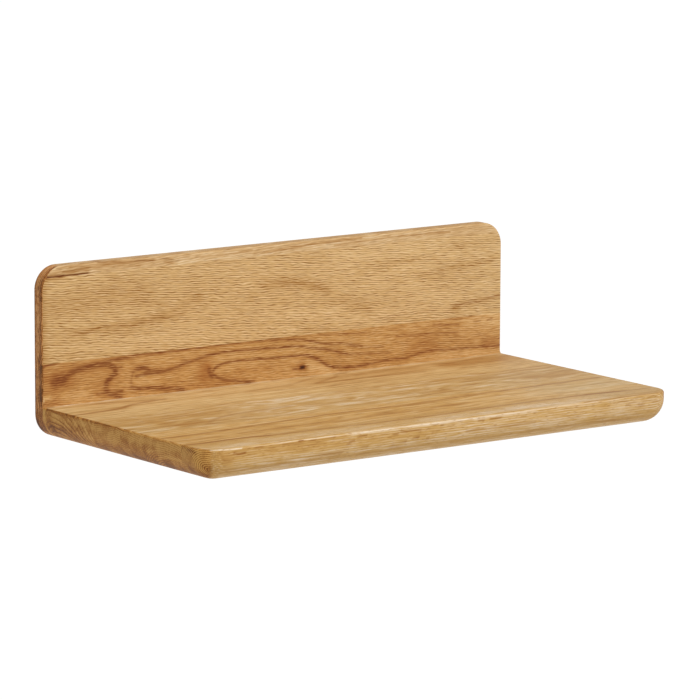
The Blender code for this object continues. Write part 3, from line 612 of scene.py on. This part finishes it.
def draw_figure(piece, node):
    """Writes the drawn figure of a stave, with its painted highlights, sheen and shade, into its points, as
    attributes that its finish reads.
    """
    place = np.empty(len(piece.data.vertices) * 3)
    piece.data.vertices.foreach_get("co", place)
    x, y, z = place.reshape(-1, 3).T / MM
    part = part_of(node)
    face = np.stack([x, z], axis=1) if part == "panel" else board_places(x, y, z)
    end = np.stack([-y, z], axis=1)
    lines = LATEWOOD.get(node, [])
    end_lines = END_FIGURE.get(node, []) + (BOARD_END_BANDS_AND_PAINTED_SHADE if part == "board" else [])
    halo = HALO[part] * drawn(face, lines, HALO_SPREAD)
    figure = (drawn(face, lines, edge=LINE_EDGE), halo + drawn(face, WARMTH_AND_PAINTED_LIGHT.get(node, [])), drawn(end, end_lines),
              drawn(face, KNOT.get(node, [])), drawn(face, PAINTED_SHEEN_GREY.get(node, [])))
    for name, values in zip(FIGURE, figure):
        piece.data.attributes.new(name, "FLOAT", "POINT").data.foreach_set("value", values.astype(np.float32))


# ---- Finishes

# Oiled oak, stave by stave. Sizes are in mm: pith, the middle of its log as (y, z); ring, from ring to ring;
# sway, how far the grain bends; streaks and pores, as (length, width, strength). lean is the fibres' angle to
# the shelf's length in degrees, and rings_along and rings_across say how strongly rings show. A real fibre or
# pore is about 0.2 mm wide, too fine to show in the render, so the finest are drawn about 1 mm wide, and pores
# 2.6 mm wide on the board's top, which the camera sees at a low angle.
FLAT_STREAKS = ((20, 1.1, 0.9), (110, 5, 0.4), (220, 12, 0.25))
FLAT_PORES = (14, 2.6, 0.3)
OAK = {
    "panel_top_stave": dict(
        tone="#D3AF7C", dark="#A0703A", pale="#EFD9B2", pith=(160, 150), ring=2.6, lean=1.5, pores=(8, 0.7, 0.25),
        streaks=((11, 0.8, 0.8), (40, 2, 0.25)), rings_along=0.1, ripple=0.2, latewood_colour="#6B3A18"),
    "panel_middle_stave": dict(
        tone="#D3AD74", dark="#8D5F2A", pale="#EACB9B", pith=(190, 80), ring=2.4, lean=-4.5, pores=(6, 0.7, 0.15),
        streaks=((9, 0.8, 0.7), (80, 9, 0.1)), rings_along=0.08, rings_across=(0.45, 1), ripple=0.46,
        latewood_colour="#824B18"),
    "panel_lower_stave": dict(
        tone="#C79657", dark="#8A5427", pale="#E3BE87", pith=(160, 12), ring=2.6, lean=-3, pores=(6, 0.7, 0.2),
        streaks=((9, 0.8, 0.9), (24, 2, 0.2), (80, 7, 0.18)), rings_along=0.1, rings_across=(0.45, 1),
        ripple=0.26, latewood_colour="#7C4421", warm_colour="#A9682F"),
    "board_rear_strip": dict(tone="#C6A26D", dark="#A06F3A", pale="#F3DFBC", pith=(60, -60), ring=2.2),
    "board_second_stave": dict(tone="#CDA76E", dark="#966833", pale="#E7CD9B", pith=(-28, -46), ring=4.6, sway=3.5),
    # The middle board stave's pale is whitened for the painted sheen on its pale patches
    "board_middle_stave": dict(tone="#C79F62", dark="#95632C", pale="#ECDCC0", pith=(-125, -190), ring=1.7),
    "board_fourth_stave": dict(tone="#CDA05C", dark="#925F2A", pale="#E8D2AC", pith=(-200, -70), ring=1.9),
    # The front stave's pale is whitened, as it is also the colour of the painted highlight on the front arris
    "board_front_stave": dict(
        tone="#C79D5B", dark="#905D28", pale="#F1E2CC", pith=(-252, -17), ring=1.7, pores=(5, 0.7, 0.4),
        streaks=((18, 0.8, 0.65), (50, 2.2, 0.2), (200, 7, 0.1)), rings_along=0.2, rings_across=(0.75, 1.5),
        sway=1.5),
}
END_TONES = {"panel": ("#5F3610", "#AE6D30", "#D1995D"),  # dark, middle and pale
             "board": ("#6B3C0E", "#AB702D", "#CE9D53")}
END_SPECKS = {"panel": (30, 0.9, 1.5), "board": (30, 1.1, 0.9)}  # length, width and strength
# The grey below is that of a painted sheen
KNOT_COLOUR, PAINTED_SHEEN_COLOUR = "#3B2114", "#A6A288"
OAK_IOR = 1.47
OAK_SHEEN = 0.2  # specular level of an open-pored oil finish
OAK_ROUGHNESS = (0.62, 0.5)  # between the fibres and on them
OAK_BUMP, OAK_RELIEF = 0.3, 0.2 * MM
FIBRE_RANGE = 0.4  # of the finest streaks, each way

# Patterns of the log, in mm
BEND_SIZE = (80, 30, 30)  # along and across it
WOBBLE, WOBBLE_RANGE = (150, 10, 1), 0.16  # streaks that shift the rings
SEASONS = ((0.22, 0.45), (0.5, 0.8), (0.85, 1))  # share of a ring's width, and how pale it is there
LAST_SEASON = 0.1  # how pale a ring ends
RAY_WIDTH, RAY_LENGTH = 1.3, 9
RAY_DISTANCE = 30  # from the pith, at the least, for which rays are spaced
RIPPLE_SPACING = 2
RIPPLE_SHIFT = (10, 3.4, 7)  # streaks that shift the ripple
RIPPLE_PATCH, PATCH_RANGE = (9, 2, 1, 0), 0.2  # streaks over which it swells from a quarter to full
PORE_RANGE = (0.14, 0.24)  # a pore opens where its streak is this strong

# Shades of the wood, from 0, dark, to 1, pale
MIDDLE = 0.5
SEASON_LEVEL = 0.6  # a ring's usual shade
WARM_SHADE, WARM_TINT = -0.35, 0.7
LINE_BREAK = (-2.2, 0.82)  # how fibres break up a drawn line, and how strong it is between them
END_START = (0.05, 0.25)  # turn of the surface where end grain starts, and where it is full
FRONT_HOLD = -0.55  # holds end grain back where the surface turns to the front
END_LEVEL, END_RINGS, END_LINE, END_RAY = 0.4, -0.35, -0.6, 0.4


def oiled_oak(node, tone, dark, pale, pith, ring, lean=0, streaks=FLAT_STREAKS, pores=FLAT_PORES, ripple=0,
              sway=6, rings_along=0.28, rings_across=(0.25, 0.75), latewood_colour="#8A5014",
              warm_colour="#AC7735"):
    """Solid oak, planed, sanded and oiled: a soft low sheen over open pores. Along the grain it shows fine
    fibres and faint rings; across it, darker end grain with rings and rays, because it drinks more oil."""
    material, tree, shader = new_material("oiled oak " + node.replace("_", " "))
    part = part_of(node)
    place = add(tree, "TexCoord").node.outputs["Object"]
    millimetres = add(tree, "VectorMath", {0: place, 1: (1 / MM,) * 3}, operation="MULTIPLY")
    turn = (0, radians(lean), 0) if part == "panel" else (0, 0, radians(lean))
    straight = add(tree, "Mapping", {"Vector": millimetres, "Rotation": turn, "Location": (0, -pith[0], -pith[1])})
    bends = add(tree, "Mapping", {"Vector": straight, "Scale": [1 / size for size in BEND_SIZE]})
    bends = add(tree, "TexNoise", {"Vector": bends, "Scale": 1, "Detail": 1}).node.outputs["Color"]
    log = add(tree, "VectorMath", {0: bends, 1: (0, sway, sway), 2: straight}, operation="MULTIPLY_ADD")
    latewood, warmth_and_painted_light, drawn_end, knot, grey = (
        add(tree, "Attribute", attribute_name=name).node.outputs["Fac"] for name in FIGURE)

    def streak(length, width, strength, detail=1):
        """Soft noise in streaks along the grain, about zero."""
        stretched = add(tree, "Mapping", {"Vector": log, "Scale": (1 / length, 1 / width, 1 / width)})
        noise = add(tree, "TexNoise", {"Vector": stretched, "Scale": 1, "Detail": detail})
        return add(tree, "Math", {0: noise, 1: strength, 2: -strength / 2}, operation="MULTIPLY_ADD")

    # Rings about the pith, with a sharp dark start each spring, and rays out from it
    cross = add(tree, "SeparateXYZ", {0: log}).node.outputs
    radius = add(tree, "VectorMath", {0: add(tree, "CombineXYZ", {"Y": cross["Y"], "Z": cross["Z"]})},
                 operation="LENGTH").node.outputs["Value"]
    wobble = streak(*WOBBLE)
    year = add(tree, "Math", {0: radius, 1: 1 / ring, 2: wobble}, operation="MULTIPLY_ADD")
    season = add(tree, "ValToRGB", {"Fac": add(tree, "Math", {0: year}, operation="FRACT")})
    stops = season.node.color_ramp.elements
    for position, level in SEASONS:
        stops.new(position).color = (level,) * 3 + (1,)
    stops[-1].color = (LAST_SEASON,) * 3 + (1,)
    angle = add(tree, "Math", {0: cross["Z"], 1: cross["Y"]}, operation="ARCTAN2")
    around = add(tree, "Math", {0: angle, 1: max(abs(pith[1]), RAY_DISTANCE) / RAY_WIDTH}, operation="MULTIPLY")
    outward = add(tree, "Math", {0: radius, 1: 1 / RAY_LENGTH}, operation="MULTIPLY")
    ray = add(tree, "TexNoise", {"Vector": add(tree, "CombineXYZ", {"X": around, "Y": outward}), "Scale": 1,
                                 "Detail": 0})

    # Where the surface cuts across the grain
    normal = add(tree, "NewGeometry").node.outputs["Normal"]
    normal = add(tree, "SeparateXYZ", {0: normal}).node.outputs
    forwards = add(tree, "Math", {0: normal["Y"]}, operation="ABSOLUTE")
    endways = add(tree, "Math", {0: normal["X"]}, operation="ABSOLUTE")
    endways = add(tree, "Math", {0: forwards, 1: FRONT_HOLD, 2: endways}, operation="MULTIPLY_ADD")
    across = add(tree, "MapRange", {0: endways, 1: END_START[0], 2: END_START[1]})

    # Along the grain
    shade = add(tree, "Math", {0: season, 1: rings_along, 2: MIDDLE - SEASON_LEVEL * rings_along},
                operation="MULTIPLY_ADD")
    # Warm strokes darken the shade and pale ones lighten it; the pale ones include painted highlights, glints and
    # sheen
    shade = add(tree, "Math", {0: warmth_and_painted_light, 1: WARM_SHADE, 2: shade}, operation="MULTIPLY_ADD")
    layers = [streak(*layer) for layer in streaks]
    for layer in layers:
        shade = add(tree, "Math", {0: shade, 1: layer}, operation="ADD")
    relief = layers[0]
    if ripple:
        # Curly grain: short waves that lie almost level, each dark below and light above
        phase = add(tree, "Math", {0: cross["Z"], 1: 2 * pi / RIPPLE_SPACING, 2: streak(*RIPPLE_SHIFT)},
                    operation="MULTIPLY_ADD")
        crest = add(tree, "Math", {0: phase}, operation="SINE")
        height = add(tree, "MapRange", {0: streak(*RIPPLE_PATCH), 1: -PATCH_RANGE, 2: PATCH_RANGE,
                                        3: ripple / 4, 4: ripple})
        crest = add(tree, "Math", {0: crest, 1: height}, operation="MULTIPLY")
        shade = add(tree, "Math", {0: shade, 1: crest}, operation="ADD")
        relief = add(tree, "Math", {0: relief, 1: crest}, operation="ADD")
    long_grain = add(tree, "ValToRGB", {"Fac": shade})
    stops = long_grain.node.color_ramp.elements
    stops[0].color, stops[1].color = linear(dark), linear(pale)
    stops.new(MIDDLE).color = linear(tone)

    # The drawn lines, broken up by the fibres, and the pores
    warm = add(tree, "Math", {0: warmth_and_painted_light, 1: WARM_TINT}, operation="MULTIPLY")
    ragged = add(tree, "Math", {0: relief, 1: LINE_BREAK[0], 2: LINE_BREAK[1]}, operation="MULTIPLY_ADD")
    latewood = add(tree, "Math", {0: latewood, 1: ragged}, operation="MULTIPLY")
    length, width, strength = pores
    pore = add(tree, "MapRange", {0: streak(length, width, 1, 0), 1: PORE_RANGE[0], 2: PORE_RANGE[1], 4: strength})
    latewood = add(tree, "Math", {0: latewood, 1: pore}, operation="MAXIMUM")

    # Across the grain
    clear = add(tree, "MapRange", {0: wobble, 1: -WOBBLE_RANGE, 2: WOBBLE_RANGE, 3: rings_across[0],
                                   4: rings_across[1]})
    level = END_LEVEL + END_RINGS * sum(rings_across)
    end = add(tree, "Math", {0: season, 1: clear, 2: level}, operation="MULTIPLY_ADD")
    end = add(tree, "Math", {0: ray, 1: END_RAY, 2: end}, operation="MULTIPLY_ADD")
    end = add(tree, "Math", {0: end, 1: streak(*END_SPECKS[part])}, operation="ADD")
    end = add(tree, "Math", {0: drawn_end, 1: END_LINE, 2: end}, operation="MULTIPLY_ADD")
    end_grain = add(tree, "ValToRGB", {"Fac": end})
    stops = end_grain.node.color_ramp.elements
    end_dark, end_tone, end_pale = END_TONES[part]
    stops[0].color, stops[1].color = linear(end_dark), linear(end_pale)
    stops.new(MIDDLE).color = linear(end_tone)

    colour = long_grain
    # grey is the painted sheen that greys the right of the board's top
    for share, over in ((warm, linear(warm_colour)), (latewood, linear(latewood_colour)),
                        (grey, linear(PAINTED_SHEEN_COLOUR)), (knot, linear(KNOT_COLOUR)), (across, end_grain)):
        colour = add(tree, "Mix", {0: share, 6: colour, 7: over}, data_type="RGBA").node.outputs[2]
    roughness = add(tree, "MapRange", {0: relief, 1: -FIBRE_RANGE, 2: FIBRE_RANGE, 3: OAK_ROUGHNESS[0],
                                       4: OAK_ROUGHNESS[1]})
    bump = add(tree, "Bump", {"Strength": OAK_BUMP, "Distance": OAK_RELIEF, "Height": relief})
    fill(tree, shader, {"Base Color": colour, "Roughness": roughness, "Normal": bump, "IOR": OAK_IOR,
                        "Specular IOR Level": OAK_SHEEN})
    return material


ZINC_TONES = ("#AEB3B5", "#D2D3CC")
ZINC_CLOUD, CLOUD_RANGE = 4 * MM, (0.3, 0.7)
ZINC_ROUGHNESS = (0.28, 0.42)
ROLLING_LINES = (0.3 * MM, 3 * MM, 6 * MM)  # size across, through and along them
ROLLING_BUMP, ROLLING_DEPTH = 0.2, 0.02 * MM


def zinc_plate():
    """Zinc-plated steel: a cool grey metal whose passivated skin is slightly cloudy, with fine rolling lines."""
    material, tree, shader = new_material("zinc-plated steel")
    place = add(tree, "TexCoord").node.outputs["Object"]
    cloud = add(tree, "TexNoise", {"Vector": place, "Scale": 1 / ZINC_CLOUD, "Detail": 3})
    tint = add(tree, "ValToRGB", {"Fac": cloud})
    stops = tint.node.color_ramp.elements
    stops[0].color, stops[1].color = (linear(tone) for tone in ZINC_TONES)
    lines = add(tree, "Mapping", {"Vector": place, "Scale": [1 / size for size in ROLLING_LINES]})
    lines = add(tree, "TexNoise", {"Vector": lines, "Scale": 1, "Detail": 2})
    roughness = add(tree, "MapRange", {0: cloud, 1: CLOUD_RANGE[0], 2: CLOUD_RANGE[1], 3: ZINC_ROUGHNESS[0],
                                       4: ZINC_ROUGHNESS[1]})
    bump = add(tree, "Bump", {"Strength": ROLLING_BUMP, "Distance": ROLLING_DEPTH, "Height": lines})
    fill(tree, shader, {"Base Color": tint, "Roughness": roughness, "Normal": bump, "Metallic": 1})
    return material


BEECH_TONES, FLECK_COLOUR = ("#C99A70", "#E4C39C"), "#A9744A"
BEECH_IOR = 1.47
BEECH_ROUGHNESS = (0.62, 0.8)
BEECH_FIBRE = (0.6 * MM, 14 * MM, 0.6 * MM)
BEECH_FLECK, FLECK_RANGE = (0.5 * MM, 2.5 * MM, 0.5 * MM), (0.62, 0.7)
BEECH_BUMP, BEECH_RELIEF = 0.3, 0.05 * MM


def raw_beech():
    """Untreated beech dowel: pinkish pale wood, matt, with the short dark flecks of its rays."""
    material, tree, shader = new_material("untreated beech")
    place = add(tree, "TexCoord").node.outputs["Object"]
    fibre = add(tree, "Mapping", {"Vector": place, "Scale": [1 / size for size in BEECH_FIBRE]})
    fibre = add(tree, "TexNoise", {"Vector": fibre, "Scale": 1, "Detail": 2})
    fleck = add(tree, "Mapping", {"Vector": place, "Scale": [1 / size for size in BEECH_FLECK]})
    fleck = add(tree, "TexNoise", {"Vector": fleck, "Scale": 1, "Detail": 0})
    fleck = add(tree, "MapRange", {0: fleck, 1: FLECK_RANGE[0], 2: FLECK_RANGE[1]})
    wood = add(tree, "ValToRGB", {"Fac": fibre})
    stops = wood.node.color_ramp.elements
    stops[0].color, stops[1].color = (linear(tone) for tone in BEECH_TONES)
    flecked = add(tree, "Mix", {0: fleck, 6: wood, 7: linear(FLECK_COLOUR)}, data_type="RGBA").node.outputs[2]
    roughness = add(tree, "MapRange", {0: fibre, 3: BEECH_ROUGHNESS[0], 4: BEECH_ROUGHNESS[1]})
    bump = add(tree, "Bump", {"Strength": BEECH_BUMP, "Distance": BEECH_RELIEF, "Height": fibre})
    fill(tree, shader, {"Base Color": flecked, "Roughness": roughness, "Normal": bump, "IOR": BEECH_IOR})
    return material


# ---- The pieces

SHARP_EDGE = radians(30)

staves = make_staves()
cut_holes(staves)
for node, piece in staves.items():
    piece.data.shade_smooth()
    piece.data.set_sharp_from_angle(angle=SHARP_EDGE)
    draw_figure(piece, node)
    piece.data.materials.clear()
    piece.data.materials.append(oiled_oak(node, **OAK[node]))
    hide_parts(node)
    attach(piece, "root")

steel, beech = zinc_plate(), raw_beech()
for node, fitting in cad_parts.items():
    if node not in staves:
        fitting.data.materials.clear()
        fitting.data.materials.append(beech if node.startswith("dowel") else steel)


# ---- Light, floor and backdrop

FLOOR_DROP = 0.60  # the shelf hangs this far above the floor
FLOOR_SIZE = 80
FLOOR_GLOW = 0.2
AMBIENT = 0.45
SUN_POWER = 2.3
SUN_SPREAD = radians(40)  # a soft box as wide as this in the sky
SUN_FROM = (0.15, -0.62, 0.785)


def add_light():
    lamp = bpy.data.lights.new("large soft box", "SUN")
    lamp.energy = SUN_POWER
    lamp.angle = SUN_SPREAD
    obj = bpy.data.objects.new("large soft box", lamp)
    obj.rotation_euler = Vector(SUN_FROM).to_track_quat("Z", "Y").to_euler()
    bpy.context.scene.collection.objects.link(obj)


def seen_directly(tree):
    """1 for rays from the camera, in reflections and through glass, 0 for light that falls on the shelf."""
    rays = add(tree, "LightPath").node.outputs
    seen = add(tree, "Math", {0: rays["Is Camera Ray"], 1: rays["Is Glossy Ray"]}, operation="MAXIMUM")
    return add(tree, "Math", {0: seen, 1: rays["Is Transmission Ray"]}, operation="MAXIMUM")


def add_floor():
    """Matt paper that looks white where it is lit and keeps the shelf's shadow."""
    bpy.ops.mesh.primitive_plane_add(size=FLOOR_SIZE, location=(0, 0, BOARD_BOTTOM - FLOOR_DROP))
    floor = bpy.context.object
    floor.name = "floor"
    material, tree, _ = new_material("matt white paper")
    tree.nodes.clear()
    paper = add(tree, "BsdfDiffuse", {"Color": linear("#F3F3F3")})
    glow = add(tree, "Emission", {"Strength": FLOOR_GLOW})
    lit = add(tree, "AddShader", {0: paper, 1: glow})
    surface = add(tree, "MixShader", {0: seen_directly(tree), 1: paper, 2: lit})
    add(tree, "OutputMaterial", {"Surface": surface})
    floor.data.materials.append(material)


def set_world():
    world = bpy.data.worlds.new("white studio")
    world.use_nodes = True
    tree = world.node_tree
    tree.nodes.clear()
    strength = add(tree, "MapRange", {0: seen_directly(tree), 3: AMBIENT, 4: 1.0})
    background = add(tree, "Background", {"Strength": strength})
    add(tree, "OutputWorld", {"Surface": background})
    bpy.context.scene.world = world


add_light()
add_floor()
set_world()

bpy.context.scene.view_settings.view_transform = "Standard"
